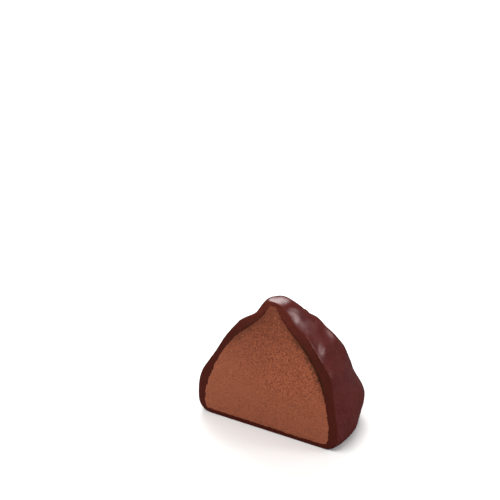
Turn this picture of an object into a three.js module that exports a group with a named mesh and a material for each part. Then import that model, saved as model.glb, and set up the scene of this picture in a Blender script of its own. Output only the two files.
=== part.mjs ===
// A cut chocolate truffle: a piped dome of ganache with a pulled tip, enrobed in dark chocolate,
// and sliced upright a little in front of its axis. It stands on the flat of its base.
//
// Two solids: the chocolate coating, which wraps the ganache everywhere except at the cut, and the
// ganache filling. Units are millimetres, +Z is up, the base lies on Z = 0, the truffle's axis is
// the Z axis and the cut faces -Y.
//
// Both are fields of signed distances, negative inside: a turned outline whose upper part leans,
// with folds of set chocolate blended on and hollows blended out. Rays from one point of the cut
// find where a field is zero, so the rim of every surface lies exactly in the cut.

import * as THREE from "three";

// ---- Driving dimensions -------------------------------------------------------------------

const COAT_HEIGHT = 28.6; // base to the top of the enrobed dome
const COAT_RADIUS = 16.2; // at its widest level, near the base
const GANACHE_HEIGHT = 28.1;
const GANACHE_RADIUS = 14.7;
const CUT_Y = -4.5; // the knife passed this far in front of the axis

const BASE_THICKNESS = 1.0; // chocolate under the ganache
const THINNEST_COAT = 0.6; // chocolate left anywhere else
const SEAM = 0.2; // clearance between ganache and coating
const COAT_ROUNDING = 3.0; // of the coating's lower edge
const GANACHE_ROUNDING = 1.0; // of the ganache's lower edge

// Outlines from below the base to the tip, as shares of the radius and of the height.
const COAT_OUTLINE = [
  [0.97, -0.15],
  [1.0, 0.15],
  [0.938, 0.32],
  [0.79, 0.52],
  [0.69, 0.63],
  [0.545, 0.745],
  [0.475, 0.797],
  [0.33, 0.852],
  [0.235, 0.91],
  [0.13, 0.98],
];
const GANACHE_OUTLINE = [
  [0.95, -0.15],
  [1.0, 0.12],
  [0.965, 0.26],
  [0.83, 0.46],
  [0.635, 0.63],
  [0.42, 0.755],
  [0.235, 0.845],
  [0.12, 0.93],
  [0.085, 0.975],
];

// Where the middle of a level lies: at the foot of the truffle, and how far it strays from there
// between two heights. The tip was pulled to the right and towards the cut.
const COAT_LEAN = {
  x: { foot: 0, strays: 1.6, from: 7, to: 19 },
  y: { foot: 0, strays: -2.5, from: 5, to: 20 },
};
const GANACHE_LEAN = {
  x: { foot: -0.25, strays: 1.5, from: 1, to: 24 },
  y: { foot: 0, strays: -3.9, from: 5, to: 26 },
};

// The pulled tip, bent over backwards as it set: balls along this path, joined up.
const TIP_PATH = [
  [1.0, -6.0, 25.6],
  [1.9, -2.9, 25.35],
  [3.2, -1.0, 24.3],
];
const TIP_RADIUS = 2.65;

// Folds that run down from the tip. A point of a path is [turn about the axis, height, rise above
// the dome]; a fold fades out where its path dips below the dome. The turn is 0 degrees towards +X
// and 90 straight back.
const FOLDS = [
  // the long fold on the right, and the crease that branches off it towards the cut
  {
    halfWidth: 1.6,
    path: [[60, 24.4, -0.1], [46, 23.0, 0.2], [37, 20.5, 0.6], [41, 16.5, 0.5], [42, 13.0, -0.15]],
  },
  { halfWidth: 1.3, path: [[34, 20.2, 0.1], [12, 19.6, 0.3], [-4, 17.4, 0], [-9, 15.0, 0]] },
  // the forked fold at the back
  { halfWidth: 1.4, path: [[98, 23.4, 0], [92, 20.8, 0.9], [104, 17.6, 1.0], [108, 12.5, 0.1]] },
  { halfWidth: 1.1, path: [[92, 20.8, 0.7], [78, 17.6, 0.8], [74, 14.0, 0.1]] },
  // two folds on the left
  { halfWidth: 1.5, path: [[134, 24.2, 0], [134, 21.5, 0.8], [126, 18.0, 1.0], [132, 13.5, 0.1]] },
  { halfWidth: 1.2, path: [[172, 22.0, 0], [162, 19.5, 0.7], [164, 15.0, 0.1]] },
  // the bulge low on the right
  { halfWidth: 2.8, path: [[12, 6.4, 0.3], [24, 5.4, 0.9], [36, 4.8, 0.7]] },
];
const RELIEF_BLEND = 1.5; // width over which tip, folds and hollows run into the dome

// Hollows between the folds, each a shallow cap pressed in. The shallowest have a narrower blend.
const HOLLOWS = [
  { turn: -9, height: 18.6, halfWidth: 1.6, depth: 0.1, blend: 0.6 },
  { turn: 2, height: 3.6, halfWidth: 2.4, depth: 0.1, blend: 0.8 },
  { turn: 76, height: 23.4, halfWidth: 1.8, depth: 0.2, blend: 0.8 },
  { turn: 190, height: 13.0, halfWidth: 2.5, depth: 0.1, blend: 0.6 },
  { turn: 6, height: 21.8, halfWidth: 2.2, depth: 0.5 },
  { turn: 24, height: 2.0, halfWidth: 2.6, depth: 0.5 },
  { turn: 62, height: 20.5, halfWidth: 2.6, depth: 0.6 },
  { turn: 84, height: 25.0, halfWidth: 2.0, depth: 0.9 },
  { turn: 92, height: 15.5, halfWidth: 3.4, depth: 0.6 },
  { turn: 116, height: 22.2, halfWidth: 2.6, depth: 0.9 },
  { turn: 148, height: 18.5, halfWidth: 3.2, depth: 0.7 },
  { turn: 158, height: 24.8, halfWidth: 3.0, depth: 0.8 },
  { turn: 170, height: 22.6, halfWidth: 2.2, depth: 0.5 },
];

// Upright swells round the lower half, where the chocolate ran down before it set.
const SWELLS = 7; // in a whole turn
const SWELL_HEIGHT = 0.12;
const SWELL_TWIST = 0.25; // radians for each millimetre of height

const OUTLINE_STEPS = 72; // straight pieces that stand for an outline
const OUTER_CELLS = 64; // grid cells across the outside of the coating
const INNER_CELLS = OUTER_CELLS / 2; // across its inside, and across the ganache
const EYE = new THREE.Vector3(0.5, CUT_Y, 14); // the point of the cut that sees every surface
const REACH = 40; // longer than any ray inside the truffle
const HALVINGS = 30; // of that reach, to find a surface on a ray

// ---- Distances ----------------------------------------------------------------------------

const { clamp, degToRad, smoothstep } = THREE.MathUtils;

// The smaller of two distances, with the crease between them rounded over the width k.
function smoothMin(a, b, k) {
  const h = Math.max(k - Math.abs(a - b), 0) / k;
  return Math.min(a, b) - (h * h * k) / 4;
}

const smoothMax = (a, b, k) => -smoothMin(-a, -b, k);

function distanceToOutline(outline, r, z) {
  let nearest = Infinity;
  let inside = false;
  for (let i = 0, j = outline.length - 1; i < outline.length; j = i++) {
    const a = outline[i];
    const b = outline[j];
    const ex = b.x - a.x;
    const ez = b.y - a.y;
    const wx = r - a.x;
    const wz = z - a.y;
    const along = clamp((wx * ex + wz * ez) / (ex * ex + ez * ez), 0, 1);
    nearest = Math.min(nearest, Math.hypot(wx - ex * along, wz - ez * along));
    if (a.y > z !== b.y > z && wx < (ex * wz) / ez) inside = !inside;
  }
  return inside ? -nearest : nearest;
}

function distanceToChain(chain, p) {
  const line = new THREE.Line3();
  const nearest = new THREE.Vector3();
  const gaps = chain.slice(1).map((end, i) => {
    line.set(chain[i], end).closestPointToPoint(p, true, nearest);
    return nearest.distanceTo(p);
  });
  return Math.min(...gaps);
}

// Where a field turns zero on the way out from a point.
function edgeFrom(field, from, direction) {
  const p = new THREE.Vector3();
  let near = 0;
  let far = REACH;
  for (let i = 0; i < HALVINGS; i++) {
    const middle = (near + far) / 2;
    p.copy(from).addScaledVector(direction, middle);
    if (field(p) < 0) near = middle;
    else far = middle;
  }
  return p;
}

function outwardNormal(field, p) {
  const step = 0.05;
  const rates = ["x", "y", "z"].map((axis) => {
    const ahead = p.clone();
    const behind = p.clone();
    ahead[axis] += step;
    behind[axis] -= step;
    return field(ahead) - field(behind);
  });
  return new THREE.Vector3(...rates).normalize();
}

// ---- The domes ----------------------------------------------------------------------------

// A half outline from under the base to the tip, closed by its mirror image over the axis.
function closedOutline(shares, radius, height) {
  const half = new THREE.SplineCurve([
    ...shares.map(([r, h]) => new THREE.Vector2(r * radius, h * height)),
    new THREE.Vector2(0, height),
  ]).getPoints(OUTLINE_STEPS);
  const otherHalf = half.slice(0, -1).reverse();
  return [...half, ...otherHalf.map((p) => new THREE.Vector2(-p.x, p.y))];
}

const middleAt = (lean, z) => lean.foot + lean.strays * smoothstep(z, lean.from, lean.to);

// The field of an outline turned about its leaning middle.
function turned(outline, lean) {
  return (p) => {
    const r = Math.hypot(p.x - middleAt(lean.x, p.z), p.y - middleAt(lean.y, p.z));
    return distanceToOutline(outline, r, p.z);
  };
}

const coatDome = turned(closedOutline(COAT_OUTLINE, COAT_RADIUS, COAT_HEIGHT), COAT_LEAN);
const ganacheDome = turned(
  closedOutline(GANACHE_OUTLINE, GANACHE_RADIUS, GANACHE_HEIGHT),
  GANACHE_LEAN,
);

// ---- The relief ---------------------------------------------------------------------------

// The point at a turn and a height on the dome, moved out square to the dome's surface.
function onDome(turn, height, out) {
  const middle = new THREE.Vector3(
    middleAt(COAT_LEAN.x, height),
    middleAt(COAT_LEAN.y, height),
    height,
  );
  const angle = degToRad(turn);
  const level = new THREE.Vector3(Math.cos(angle), Math.sin(angle), 0);
  const p = edgeFrom(coatDome, middle, level);
  return p.addScaledVector(outwardNormal(coatDome, p), out);
}

// The radius of a ball whose cap has this half width and height.
const capRadius = (halfWidth, height) => (halfWidth ** 2 + height ** 2) / (2 * height);

const tip = {
  radius: TIP_RADIUS,
  chain: TIP_PATH.map((at) => new THREE.Vector3(...at)),
};

const folds = FOLDS.map(({ halfWidth, path }) => {
  const highest = Math.max(...path.map(([, , rise]) => rise));
  const radius = capRadius(halfWidth, highest);
  const chain = path.map(([turn, height, rise]) => onDome(turn, height, rise - radius));
  return { radius, chain };
});

const hollows = HOLLOWS.map(({ turn, height, halfWidth, depth, blend = RELIEF_BLEND }) => {
  const radius = capRadius(halfWidth, depth);
  return { radius, blend, center: onDome(turn, height, radius - depth) };
});

function swellAt(p) {
  const fade = smoothstep(p.z, 1, 7) * (1 - smoothstep(p.z, 12, 19));
  const turn = Math.atan2(p.y, p.x);
  return SWELL_HEIGHT * fade * Math.sin(SWELLS * turn + SWELL_TWIST * p.z);
}

function coatField(p) {
  let d = coatDome(p) - swellAt(p);
  for (const { radius, chain } of [tip, ...folds])
    d = smoothMin(d, distanceToChain(chain, p) - radius, RELIEF_BLEND);
  for (const { radius, blend, center } of hollows)
    d = smoothMax(d, radius - center.distanceTo(p), blend);
  return smoothMax(d, -p.z, COAT_ROUNDING);
}

function ganacheField(p) {
  const piped = smoothMax(ganacheDome(p), BASE_THICKNESS - p.z, GANACHE_ROUNDING);
  return Math.max(piped, coatField(p) + THINNEST_COAT);
}

// ---- Surfaces -----------------------------------------------------------------------------

// Folds a square over the half sphere behind the cut. The square's edge becomes the cut's rim.
function rayDirection(a, b) {
  if (a === 0 && b === 0) return new THREE.Vector3(0, 1, 0);
  const wide = Math.abs(a) > Math.abs(b);
  const radius = wide ? a : b;
  const turn = wide
    ? (Math.PI / 4) * (b / a)
    : Math.PI / 2 - (Math.PI / 4) * (a / b);
  const fromBack = (radius * Math.PI) / 2;
  return new THREE.Vector3(
    Math.sin(fromBack) * Math.cos(turn),
    Math.max(Math.cos(fromBack), 0),
    Math.sin(fromBack) * Math.sin(turn),
  );
}

// A surface as a square grid of points, with its faces and the loop of points along its rim.
function surface(field, cells) {
  const points = [];
  const faces = [];
  const rim = [];
  const side = cells + 1;
  const at = (i, j) => i * side + j;
  const share = (i) => (2 * i) / cells - 1;
  for (let i = 0; i < side; i++)
    for (let j = 0; j < side; j++)
      points.push(edgeFrom(field, EYE, rayDirection(share(i), share(j))));
  for (let i = 0; i < cells; i++)
    for (let j = 0; j < cells; j++) {
      const [a, b, c, d] = [at(i, j), at(i + 1, j), at(i + 1, j + 1), at(i, j + 1)];
      const shortAC =
        points[a].distanceTo(points[c]) < points[b].distanceTo(points[d]);
      if (shortAC) faces.push([a, c, b], [a, d, c]);
      else faces.push([a, d, b], [b, d, c]);
    }
  for (let k = 0; k < cells; k++) rim.push(at(k, 0));
  for (let k = 0; k < cells; k++) rim.push(at(cells, k));
  for (let k = cells; k > 0; k--) rim.push(at(k, cells));
  for (let k = cells; k > 0; k--) rim.push(at(0, k));
  return { points, faces, rim };
}

function geometryOf(points, faces) {
  return new THREE.BufferGeometry().setFromPoints(points).setIndex(faces.flat());
}

// ---- The two solids -----------------------------------------------------------------------

// The coating: its outside, its inside turned round, and the band of the cut between the rims.
// The outer rim has two points for each point of the inner rim.
function coatingGeometry() {
  const outside = surface(coatField, OUTER_CELLS);
  const inside = surface(ganacheField, INNER_CELLS);
  const shift = outside.points.length;
  const innerRim = inside.rim.map((v) => v + shift);
  const innerFaces = inside.faces.map(([a, b, c]) => [a + shift, c + shift, b + shift]);
  const band = innerRim.flatMap((inner, k) => {
    const nextInner = innerRim[(k + 1) % innerRim.length];
    const outer = outside.rim[2 * k];
    const between = outside.rim[2 * k + 1];
    const nextOuter = outside.rim[(2 * k + 2) % outside.rim.length];
    return [
      [outer, between, inner],
      [between, nextInner, inner],
      [between, nextOuter, nextInner],
    ];
  });
  return geometryOf(
    [...outside.points, ...inside.points],
    [...outside.faces, ...innerFaces, ...band],
  );
}

// The ganache: its rounded back and the cut, fanned out from the point that the rays came from.
function fillingGeometry() {
  const back = surface((p) => ganacheField(p) + SEAM, INNER_CELLS);
  const hub = back.points.length;
  const cut = back.rim.map((v, k) => [v, back.rim[(k + 1) % back.rim.length], hub]);
  return geometryOf([...back.points, EYE], [...back.faces, ...cut]);
}

function solid(name, geometry, color, roughness) {
  geometry.computeVertexNormals();
  const material = new THREE.MeshStandardMaterial({ color, roughness, metalness: 0 });
  const mesh = new THREE.Mesh(geometry, material);
  mesh.name = name;
  return mesh;
}

const truffle = new THREE.Group();
truffle.add(
  solid("chocolate_coating", coatingGeometry(), 0x55291f, 0.35),
  solid("ganache_filling", fillingGeometry(), 0x8c4e38, 0.85),
);

export default truffle;
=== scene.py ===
from math import cos, pi, radians, sin

import bmesh
import bpy
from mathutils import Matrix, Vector


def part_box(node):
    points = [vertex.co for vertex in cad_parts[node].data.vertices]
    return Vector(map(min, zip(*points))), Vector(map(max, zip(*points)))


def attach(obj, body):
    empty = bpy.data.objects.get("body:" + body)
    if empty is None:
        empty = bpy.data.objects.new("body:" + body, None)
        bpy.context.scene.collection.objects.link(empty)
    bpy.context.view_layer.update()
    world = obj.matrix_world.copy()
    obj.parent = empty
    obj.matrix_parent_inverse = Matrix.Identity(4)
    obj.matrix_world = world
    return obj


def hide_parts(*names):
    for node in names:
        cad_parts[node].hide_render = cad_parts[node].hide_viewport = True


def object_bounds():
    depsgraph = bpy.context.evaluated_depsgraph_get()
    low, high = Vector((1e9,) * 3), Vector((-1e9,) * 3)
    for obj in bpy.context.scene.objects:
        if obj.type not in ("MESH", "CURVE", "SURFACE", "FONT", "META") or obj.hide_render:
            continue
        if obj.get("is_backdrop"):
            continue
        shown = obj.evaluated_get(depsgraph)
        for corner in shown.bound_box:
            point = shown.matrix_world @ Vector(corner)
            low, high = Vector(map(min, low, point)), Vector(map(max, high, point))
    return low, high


# A chocolate truffle, cut upright so that its ganache shows, on a pale table. Metres, +Z up; the
# truffle stands on Z = 0 and its cut faces -Y.

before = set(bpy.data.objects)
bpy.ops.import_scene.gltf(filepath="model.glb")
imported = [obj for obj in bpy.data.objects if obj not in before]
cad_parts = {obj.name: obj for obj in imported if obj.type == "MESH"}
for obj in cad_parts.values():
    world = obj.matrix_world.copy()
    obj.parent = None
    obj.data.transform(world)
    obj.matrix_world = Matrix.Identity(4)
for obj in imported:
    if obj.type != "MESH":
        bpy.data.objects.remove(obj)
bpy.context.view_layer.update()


# ---- Chocolate coating ----------------------------------------------------------------------
# Dark chocolate that the piped ganache was dipped in. It set in soft folds round the pulled tip
# and smooth round the foot, and the knife left a dull band of it all round the filling.

MM = 0.001
WELD = 0.01 * MM  # points closer than this are one
CUT_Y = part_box("chocolate_coating")[0].y
BAND_Y = CUT_Y + 0.06 * MM  # the hard chocolate gave way a little behind the knife
EDGE_ROUNDING = 0.18 * MM
DULL_DEPTH = 0.1 * MM  # how far the dull band runs round that edge
INSIDE_Z = 12 * MM  # the height of places that are well inside the truffle
INNER_RIM_SHARE = 0.968  # drawn in behind the ganache's ragged edge, so that no seam shows

# Soft forms of the coating, from the tip down its right side: a place on it in millimetres, how
# wide each is, and how far it stands out or, below 0, lies in.
DABS = [
    ((-0.5, -3.0, 28.0), 2.0, 0.2),  # a swelling in front of the tip
    ((3.0, -2.5, 28.5), 3.5, -0.45),  # the dent behind it
    ((6.0, 0.5, 24.5), 2.2, 0.2),  # a swelling where the long fold starts
    ((9.5, 1.5, 21.0), 3.0, -0.35),  # the crease under that fold
    ((11.0, -1.5, 19.5), 2.4, 0.3),  # a swelling between the crease and the cut
    ((13.0, -2.0, 17.5), 3.5, -0.5),  # the hollow beside the cut
    ((12.5, 1.0, 17.5), 4.0, -0.6),  # and its deeper half under the fold
]


def only(piece):
    """Selects a piece alone."""
    bpy.ops.object.select_all(action="DESELECT")
    piece.select_set(True)
    bpy.context.view_layer.objects.active = piece


def welded_copy(node, name):
    """A copy of a solid with its loose triangles merged, left in edit mode."""
    piece = bpy.data.objects.new(name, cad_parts[node].data.copy())
    piece.data.materials.clear()
    bpy.context.scene.collection.objects.link(piece)
    only(piece)
    bpy.ops.mesh.customdata_custom_splitnormals_clear()
    bpy.ops.object.mode_set(mode="EDIT")
    bpy.ops.mesh.select_all(action="SELECT")
    bpy.ops.mesh.remove_doubles(threshold=WELD)
    return piece


def select(piece, kind, rule):
    """Selects the verts, edges or faces of a piece, in edit mode, that a rule picks."""
    mesh = bmesh.from_edit_mesh(piece.data)
    mesh.select_mode = {{"verts": "VERT", "edges": "EDGE", "faces": "FACE"}[kind]}
    for part in [*mesh.verts, *mesh.edges, *mesh.faces]:
        part.select = False
    for part in getattr(mesh, kind):
        if rule(part):
            part.select_set(True)
    mesh.select_flush_mode()
    bmesh.update_edit_mesh(piece.data)


def in_cut(vert):
    return vert.co.y < CUT_Y + WELD


def rim_side(edge):
    """1 on the coating's outer rim in the cut, -1 on its inner rim, 0 elsewhere."""
    if not all(in_cut(v) for v in edge.verts):
        return 0
    walls = [f for f in edge.link_faces if not all(in_cut(v) for v in f.verts)]
    if len(walls) != 1:
        return 0
    inside = Vector((0, CUT_Y, INSIDE_Z))
    return 1 if walls[0].normal.dot(edge.verts[0].co - inside) > 0 else -1


def apply(piece, kind, name, **settings):
    """Adds a modifier with its settings and applies it."""
    modifier = piece.modifiers.new(name, kind)
    for key, value in settings.items():
        setattr(modifier, key, value)
    only(piece)
    bpy.ops.object.modifier_apply(modifier=name)


def weigh(piece, name, weight):
    """A vertex group in which each point's weight follows from its place."""
    group = piece.vertex_groups.new(name=name)
    for vert in piece.data.vertices:
        group.add([vert.index], weight(vert.co), "REPLACE")


def ripple(piece, name, spacing, depth, where, direction="NORMAL"):
    """Moves a piece's points by soft noise of a spacing and depth, where a vertex group says."""
    texture = bpy.data.textures.new(name, "CLOUDS")
    texture.noise_basis = "IMPROVED_PERLIN"
    texture.noise_scale = spacing
    texture.noise_depth = 1
    apply(
        piece, "DISPLACE", name,
        texture=texture, texture_coords="LOCAL", strength=depth, vertex_group=where,
        direction=direction,
    )


coat = welded_copy("chocolate_coating", "coating")
bpy.ops.mesh.tris_convert_to_quads(face_threshold=radians(50), shape_threshold=radians(60))
select(coat, "edges", lambda e: rim_side(e) < 0)
bpy.ops.transform.edge_crease(value=1.0)
bpy.ops.transform.resize(
    value=(INNER_RIM_SHARE, 1, INNER_RIM_SHARE), center_override=(0, CUT_Y, INSIDE_Z)
)
select(coat, "edges", lambda e: rim_side(e) > 0)
bpy.ops.mesh.bevel(offset=EDGE_ROUNDING, segments=2, profile=0.5)
select(coat, "verts", in_cut)
bpy.ops.transform.resize(value=(1, 0, 1), center_override=(0, BAND_Y, 0))


def stays(face):
    """True in the cut and on the inside of the coating, where no soft forms are pushed."""
    inner = (face.calc_center_median() - Vector((0, 0, INSIDE_Z))).dot(face.normal) < 0
    return inner or all(v.co.y < BAND_Y + WELD for v in face.verts)


def level(piece, at, radius, times):
    """Evens the surface out round a place, in millimetres, most of all in its middle."""
    place = Vector(at) * MM
    for share in (1, 0.75, 0.5):
        select(piece, "verts", lambda v: not v.hide and (v.co - place).length < radius * share * MM)
        bpy.ops.mesh.vertices_smooth(factor=0.5, repeat=times)


def dab(piece, at, radius, push):
    """Pushes the surface near a place, in millimetres, out in a soft dab, or in below 0."""
    mesh = bmesh.from_edit_mesh(piece.data)
    place = Vector(at) * MM
    free = [v for v in mesh.verts if not v.hide]
    nearest = min(free, key=lambda v: (v.co - place).length)
    select(piece, "verts", lambda v: v is nearest)
    bpy.ops.transform.translate(
        value=nearest.normal * push * MM,
        use_proportional_edit=True, proportional_edit_falloff="SMOOTH",
        proportional_size=radius * MM, use_proportional_connected=True,
    )


# The right side is evened out before the forms are pushed into it, and their hollow once more after.
select(coat, "faces", stays)
bpy.ops.mesh.hide()
level(coat, at=(9.6, -1.4, 21.2), radius=4.6, times=30)
for at, radius, push in DABS:
    dab(coat, at, radius, push)
level(coat, at=(12.7, 1.2, 17.6), radius=3.2, times=5)
bpy.ops.mesh.reveal()
bpy.ops.object.mode_set(mode="OBJECT")
apply(coat, "SUBSURF", "smooth", levels=2, render_levels=2)


def out_of_cut(co):
    """1 on the outside, falling to 0 towards the cut and towards the flat of the base."""
    behind_cut = min(max((co.y - CUT_Y - 0.2 * MM) / (1.5 * MM), 0), 1)
    above_base = min(max(co.z / (2.5 * MM), 0), 1)
    return behind_cut * above_base


weigh(coat, "outside", out_of_cut)
ripple(coat, "waves", spacing=3.4 * MM, depth=0.06 * MM, where="outside")
ripple(coat, "ripples", spacing=1.1 * MM, depth=0.02 * MM, where="outside")
only(coat)
bpy.ops.object.shade_smooth()


def material(name):
    """A new material, its node tree and its shader."""
    made = bpy.data.materials.new(name)
    made.use_nodes = True
    return made, made.node_tree, made.node_tree.nodes["Principled BSDF"]


def feed(tree, socket, value):
    """Gives a socket a value, or links it to the output that the value is."""
    if isinstance(value, bpy.types.NodeSocket):
        tree.links.new(value, socket)
    else:
        socket.default_value = value


def node(tree, kind, inputs=None, **settings):
    """A node with its settings, and its inputs as values or as the outputs that feed them."""
    made = tree.nodes.new("ShaderNode" + kind)
    for key, value in settings.items():
        setattr(made, key, value)
    for key, value in (inputs or {}).items():
        feed(tree, made.inputs[key], value)
    return made


def maths(tree, operation, a, b=0.0):
    return node(tree, "Math", {0: a, 1: b}, operation=operation).outputs[0]


def ramp(tree, value, low, high, at_low=0.0, at_high=1.0):
    """Runs from one level to another as a value runs from low to high, and holds them past it."""
    span = {"Value": value, "From Min": low, "From Max": high, "To Min": at_low, "To Max": at_high}
    return node(tree, "MapRange", span).outputs[0]


def place_in(tree):
    """Where each point of the surface lies, in metres."""
    return node(tree, "TexCoord").outputs["Object"]


def effect(name, inputs, output):
    """An empty node group with number inputs and one number output, and its two end nodes."""
    tree = bpy.data.node_groups.new(name, "ShaderNodeTree")
    for label, value in inputs.items():
        socket = tree.interface.new_socket(label, in_out="INPUT", socket_type="NodeSocketFloat")
        socket.default_value = value
    tree.interface.new_socket(output, in_out="OUTPUT", socket_type="NodeSocketFloat")
    return tree, tree.nodes.new("NodeGroupInput"), tree.nodes.new("NodeGroupOutput")


def use(tree, group, **inputs):
    """A node group placed in a tree, with its own values."""
    made = tree.nodes.new("ShaderNodeGroup")
    made.node_tree = group
    for label, value in inputs.items():
        made.inputs[label].default_value = value
    return made.outputs[0]


# Soft clouds from 0 to 1, a spacing apart.
clouds, start, end = effect("soft clouds", {"Spacing": 2 * MM, "Detail": 2.0}, "Cloud")
scale = maths(clouds, "DIVIDE", 1.0, start.outputs["Spacing"])
noise = node(
    clouds, "TexNoise",
    {"Vector": place_in(clouds), "Scale": scale, "Detail": start.outputs["Detail"]},
)
clouds.links.new(ramp(clouds, noise.outputs["Fac"], 0.3, 0.7), end.inputs["Cloud"])

# Separate specks: about a spacing apart, a width across, and only a share of them there.
specks, start, end = effect(
    "scattered specks", {"Spacing": 1 * MM, "Width": 0.2 * MM, "Share": 0.5}, "Speck"
)
scale = maths(specks, "DIVIDE", 1.0, start.outputs["Spacing"])
cells = node(specks, "TexVoronoi", {"Vector": place_in(specks), "Scale": scale})
reach = maths(specks, "MULTIPLY", start.outputs["Width"], scale)
spot = ramp(specks, cells.outputs["Distance"], 0.0, reach, 1.0, 0.0)
draw = node(specks, "SeparateColor", {"Color": cells.outputs["Color"]}).outputs["Red"]
there = maths(specks, "LESS_THAN", draw, start.outputs["Share"])
specks.links.new(maths(specks, "MULTIPLY", spot, there), end.inputs["Speck"])


def between(tree, cloud, low, high):
    """A 0 to 1 value spread from low to high."""
    return ramp(tree, cloud, 0.0, 1.0, low, high)


def distance(tree, place, point):
    return node(tree, "VectorMath", {0: place, 1: point}, operation="DISTANCE").outputs["Value"]


def border(side, height):
    """The place on the ganache's edge in the cut at a height in millimetres, -1 left and 1 right."""
    edge = [v.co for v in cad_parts["ganache_filling"].data.vertices if in_cut(v)]
    return min((co for co in edge if co.x * side > 0), key=lambda co: abs(co.z - height * MM))


def circle_through(a, b, c):
    """The middle and the radius of the circle through three places."""
    ab, ac = b - a, c - a
    axis = ab.cross(ac)
    out = axis.cross(ab) * ac.length_squared + ac.cross(axis) * ab.length_squared
    out /= 2 * axis.length_squared
    return a + out, out.length


# The border of ganache and coating in the cut, where the knife dragged them into each other: 1 on it
# and 0 a width away. On either side of the tip it follows the circle through three heights of the
# border, with a ragged edge, and reaches some way from the middle one.
RAGGED = 0.8 * MM
smear, start, end = effect("smeared border", {"Width": 1 * MM}, "Smear")
place = place_in(smear)
ragged = between(smear, use(smear, clouds, Spacing=0.6 * MM, Detail=5.0), -RAGGED, RAGGED)
dragged = 0.0
for side, heights, reach, most in (
    (1, (12, 18, 23), 8.5 * MM, 1.0),
    (-1, (17, 21, 24), 6.5 * MM, 0.6),
):
    low, middle, high = [border(side, height) for height in heights]
    hub, radius = circle_through(low, middle, high)
    past = maths(smear, "SUBTRACT", distance(smear, place, hub), radius)
    gap = maths(smear, "ABSOLUTE", maths(smear, "ADD", past, ragged))
    strip = ramp(smear, gap, 0.1 * MM, start.outputs["Width"], most, 0.0)
    along = ramp(smear, distance(smear, place, middle), reach / 2, reach, 1.0, 0.0)
    dragged = maths(smear, "MAXIMUM", dragged, maths(smear, "MULTIPLY", strip, along))
smear.links.new(dragged, end.inputs["Smear"])


def srgb(code):
    """The linear colour of a hexadecimal one."""
    parts = [int(code[i:i + 2], 16) / 255 for i in (0, 2, 4)]
    return [p / 12.92 if p <= 0.04045 else ((p + 0.055) / 1.055) ** 2.4 for p in parts] + [1]


def blend(tree, amount, a, b):
    """A colour that runs from a to b by an amount."""
    mix = node(tree, "Mix", {"Factor": amount}, data_type="RGBA")
    color_a, color_b, color_out = mix.inputs[6], mix.inputs[7], mix.outputs[2]
    feed(tree, color_a, a)
    feed(tree, color_b, b)
    return color_out


SATIN_DARK = srgb("4d1a17")
SATIN_PALE = srgb("56201d")
SATIN_MOTTLE = srgb("4a1b18")
SATIN_SHINE = (1, 0.78, 0.78, 1)

satin, tree, shader = material("satin dark chocolate")
tone = use(tree, clouds, Spacing=3.2 * MM, Detail=3.0)
color = blend(tree, tone, SATIN_DARK, SATIN_PALE)
mottle = use(tree, clouds, Spacing=0.35 * MM, Detail=2.0)
color = blend(tree, between(tree, mottle, 0.0, 0.15), color, SATIN_MOTTLE)
tree.links.new(color, shader.inputs["Base Color"])
sheen = use(tree, clouds, Spacing=1.6 * MM, Detail=3.0)
tree.links.new(between(tree, sheen, 0.24, 0.34), shader.inputs["Roughness"])
shader.inputs["Specular Tint"].default_value = SATIN_SHINE
pores = use(tree, clouds, Spacing=0.28 * MM, Detail=3.0)
bump = node(tree, "Bump", {"Height": pores, "Strength": 0.08, "Distance": 0.02 * MM})
tree.links.new(bump.outputs["Normal"], shader.inputs["Normal"])
coat.data.materials.append(satin)

KNIFED = srgb("4e190f")
KNIFED_NEAR_TIP = srgb("62251a")
KNIFED_STREAK = srgb("34110c")
KNIFED_CRUMB = srgb("7c4430")
KNIFED_SMEAR = srgb("3e1f0a")

dull, tree, shader = material("knife-cut dark chocolate")
height = node(tree, "SeparateXYZ", {"Vector": place_in(tree)}).outputs["Z"]
color = blend(tree, ramp(tree, height, 19 * MM, 26 * MM), KNIFED, KNIFED_NEAR_TIP)
streak = use(tree, clouds, Spacing=0.5 * MM, Detail=3.0)
color = blend(tree, between(tree, streak, 0.0, 0.4), color, KNIFED_STREAK)
crumb = use(tree, specks, Spacing=0.7 * MM, Width=0.14 * MM, Share=0.3)
color = blend(tree, between(tree, crumb, 0.0, 0.6), color, KNIFED_CRUMB)
dragged = use(tree, smear, Width=1.0 * MM)
color = blend(tree, between(tree, dragged, 0.0, 0.65), color, KNIFED_SMEAR)
tree.links.new(color, shader.inputs["Base Color"])
shader.inputs["Roughness"].default_value = 0.55
shader.inputs["Specular IOR Level"].default_value = 0.08
coat.data.materials.append(dull)
for face in coat.data.polygons:
    if face.center.y < BAND_Y + DULL_DEPTH:
        face.material_index = 1

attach(coat, "root")
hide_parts("chocolate_coating")


# ---- Ganache filling ------------------------------------------------------------------------
# Soft ganache, piped in a dome and left to set before it was coated. The knife drew it flat, with
# a ragged edge just in front of the chocolate, and its fine grain and tiny pits show in the cut.

FACE_Y = CUT_Y + 0.03 * MM
CELLS = 32  # rows of faces across the cut
CORNER = Vector((-12.3 * MM, CUT_Y, 1.2 * MM))  # where those rows start
FINER_CUTS = 6  # that each of those faces is then divided by
DRAWN_DOWN = 1.01  # the knife drew the face this much longer, from the tip to the foot
DRAWN_FROM_Z = 26 * MM
FAN_EDGES = 100  # more of them than this meet only in the middle of the solid's flat cut
COARSEST = (7 * MM, CUT_Y, 21 * MM)  # where the grain shows most


def hub_of_cut(vert):
    """The one point that all triangles of the solid's flat cut share."""
    return in_cut(vert) and len(vert.link_edges) > FAN_EDGES


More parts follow.
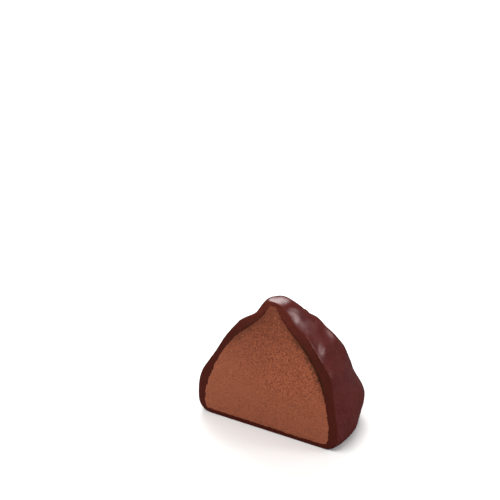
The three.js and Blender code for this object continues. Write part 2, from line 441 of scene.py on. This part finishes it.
filling = welded_copy("ganache_filling", "filling")
select(filling, "verts", hub_of_cut)
bpy.ops.mesh.delete(type="VERT")
select(filling, "edges", lambda e: e.is_boundary)
mesh = bmesh.from_edit_mesh(filling.data)
rim = [v for v in mesh.verts if v.select]
mesh.select_history.add(min(rim, key=lambda v: (v.co - CORNER).length))
bpy.ops.mesh.fill_grid(span=CELLS)
bpy.ops.mesh.select_all(action="SELECT")
bpy.ops.mesh.normals_make_consistent(inside=False)
select(filling, "verts", in_cut)
bpy.ops.transform.resize(
    value=(1, 0, DRAWN_DOWN), center_override=(0, FACE_Y, DRAWN_FROM_Z)
)
select(filling, "faces", lambda f: all(v.co.y < FACE_Y + WELD for v in f.verts))
bpy.ops.mesh.subdivide(number_cuts=FINER_CUTS)
bpy.ops.object.mode_set(mode="OBJECT")


def in_face(co):
    return 1 if co.y < FACE_Y + WELD else 0


weigh(filling, "face", in_face)
ripple(filling, "dragged", spacing=0.9 * MM, depth=0.6 * MM, where="face", direction="X")
ripple(filling, "smeared", spacing=0.7 * MM, depth=0.5 * MM, where="face", direction="Z")
ripple(filling, "ragged", spacing=0.3 * MM, depth=0.4 * MM, where="face", direction="X")
ripple(filling, "drawn", spacing=2.5 * MM, depth=0.06 * MM, where="face", direction="Y")
ripple(filling, "grain", spacing=0.3 * MM, depth=0.1 * MM, where="face", direction="Y")
only(filling)
bpy.ops.object.shade_smooth()

GANACHE_DARK = srgb("975840")
GANACHE_PALE = srgb("a36146")
GANACHE_GAPS = srgb("562010")  # between the grains
GANACHE_GRAIN = srgb("ae6040")
GANACHE_NEAR_TIP = srgb("46150a")
GANACHE_SPECK = srgb("b07656")
GANACHE_PIT = srgb("602a1c")
GANACHE_SMEAR = srgb("4b2410")

ganache, tree, shader = material("ganache")
tone = use(tree, clouds, Spacing=2.2 * MM, Detail=3.0)
color = blend(tree, tone, GANACHE_DARK, GANACHE_PALE)
place = place_in(tree)
coarse = ramp(tree, distance(tree, place, COARSEST), 3 * MM, 18 * MM, 1.2, 0.6)
color = blend(tree, between(tree, coarse, 0.0, 0.85), color, GANACHE_GAPS)
grain = use(tree, clouds, Spacing=0.24 * MM, Detail=4.0)
color = blend(tree, maths(tree, "MULTIPLY", grain, coarse), color, GANACHE_GRAIN)
height = node(tree, "SeparateXYZ", {"Vector": place}).outputs["Z"]
color = blend(tree, ramp(tree, height, 12 * MM, 25 * MM, 0.0, 0.46), color, GANACHE_NEAR_TIP)
speck = use(tree, specks, Spacing=0.8 * MM, Width=0.22 * MM, Share=0.25)
color = blend(tree, between(tree, speck, 0.0, 0.5), color, GANACHE_SPECK)
pit = use(tree, specks, Spacing=0.7 * MM, Width=0.26 * MM, Share=0.35)
color = blend(tree, between(tree, pit, 0.0, 0.5), color, GANACHE_PIT)
dragged = use(tree, smear, Width=1.1 * MM)
color = blend(tree, between(tree, dragged, 0.0, 0.8), color, GANACHE_SMEAR)
tree.links.new(color, shader.inputs["Base Color"])
shader.inputs["Roughness"].default_value = 0.8
shader.inputs["Specular IOR Level"].default_value = 0.2
filling.data.materials.append(ganache)

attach(filling, "root")
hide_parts("ganache_filling")


# ---- Table ----------------------------------------------------------------------------------
# A plain white table top, far larger than the truffle. It shows darker in reflections, as if
# other sweets stood round this one.

TABLE_RADIUS = 0.45
TABLE_WHITE = srgb("f6f5f3")
TABLE_REFLECTED = srgb("403b3a")

bpy.ops.object.select_all(action="DESELECT")
bpy.ops.mesh.primitive_circle_add(
    vertices=96, radius=TABLE_RADIUS, fill_type="NGON", location=(0, 0, 0)
)
table = bpy.context.active_object
table.name = "table_top"
pale, tree, shader = material("pale table")
mirrored = node(tree, "LightPath").outputs["Is Glossy Ray"]
tree.links.new(blend(tree, mirrored, TABLE_WHITE, TABLE_REFLECTED), shader.inputs["Base Color"])
shader.inputs["Roughness"].default_value = 0.8
shader.inputs["Specular IOR Level"].default_value = 0.0
table.data.materials.append(pale)
table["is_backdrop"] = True


# ---- Studio light ---------------------------------------------------------------------------
# Soft boxes round the table: large and dim ones in front, above and at the side, and small bright
# ones behind the truffle, which show in its satin skin. The walls of the studio light the rest.

TRUFFLE_MIDDLE = Vector((0, 0, 0.013))
WALLS = 0.4  # how brightly the walls light the truffle
WALLS_SEEN = 1.0  # how bright they look behind it
WALLS_MIRRORED = 0.06  # and in its skin


def toward(turn, rise):
    """The direction at a turn about the truffle, 0 to the front and 90 to the right, and a rise."""
    return Vector((sin(turn) * cos(rise), -cos(turn) * cos(rise), sin(rise)))


def soft_box(name, turn, rise, away, width, height, radiance):
    data = bpy.data.lights.new(name, "AREA")
    data.shape = "RECTANGLE"
    data.size = width
    data.size_y = height
    data.energy = radiance * pi * width * height
    light = bpy.data.objects.new(name, data)
    bpy.context.scene.collection.objects.link(light)
    out = toward(radians(turn), radians(rise))
    light.location = TRUFFLE_MIDDLE + out * away
    light.rotation_euler = out.to_track_quat("Z", "Y").to_euler()


soft_box("front_box", turn=-30, rise=55, away=1.2, width=1.0, height=1.0, radiance=2.0)
soft_box("top_box", turn=0, rise=85, away=1.2, width=0.9, height=0.9, radiance=1.8)
soft_box("side_box", turn=75, rise=45, away=1.2, width=0.8, height=0.8, radiance=0.4)
soft_box("back_left_box", turn=212, rise=42, away=1.0, width=0.65, height=0.55, radiance=8)
soft_box("back_right_box", turn=140, rise=32, away=1.0, width=0.25, height=0.22, radiance=4.5)
soft_box("right_box", turn=116, rise=27, away=1.0, width=0.3, height=0.28, radiance=10)

world = bpy.data.worlds.new("studio")
world.use_nodes = True
tree = world.node_tree
rays = node(tree, "LightPath").outputs
walls = between(tree, rays["Is Camera Ray"], WALLS, WALLS_SEEN)
walls = between(tree, rays["Is Glossy Ray"], walls, WALLS_MIRRORED)
tree.nodes["Background"].inputs["Color"].default_value = (1, 1, 1, 1)
tree.links.new(walls, tree.nodes["Background"].inputs["Strength"])
bpy.context.scene.world = world
bpy.context.scene.view_settings.view_transform = "Standard"


# ---- Camera ---------------------------------------------------------------------------------
# Looks down on the truffle from the front right, and past it, so that it stands low and right of
# the middle of the picture.

CAMERA_TURN = radians(31)
CAMERA_RISE = radians(30)
CAMERA_AWAY = 0.4
LENS = 151.2  # in millimetres, as the next: 95 mm at the truffle fill the picture
SENSOR = 36
LOOKED_FROM_ROUND = Vector((0, -0.004, 0.013))  # the middle of the truffle's cut
AIM = Vector((-0.00865, 0.00354, 0.03327))  # the middle of the picture

camera_data = bpy.data.cameras.new("camera")
camera_data.lens = LENS
camera_data.sensor_width = SENSOR
camera_data.clip_start = 0.01
camera = bpy.data.objects.new("camera", camera_data)
bpy.context.scene.collection.objects.link(camera)
camera.location = LOOKED_FROM_ROUND + toward(CAMERA_TURN, CAMERA_RISE) * CAMERA_AWAY
camera.rotation_euler = (AIM - camera.location).to_track_quat("-Z", "Y").to_euler()
bpy.context.scene.camera = camera


# ---- Sizes ----------------------------------------------------------------------------------
# The lowest and highest corners of the pieces made here, as they are rendered.

low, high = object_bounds()
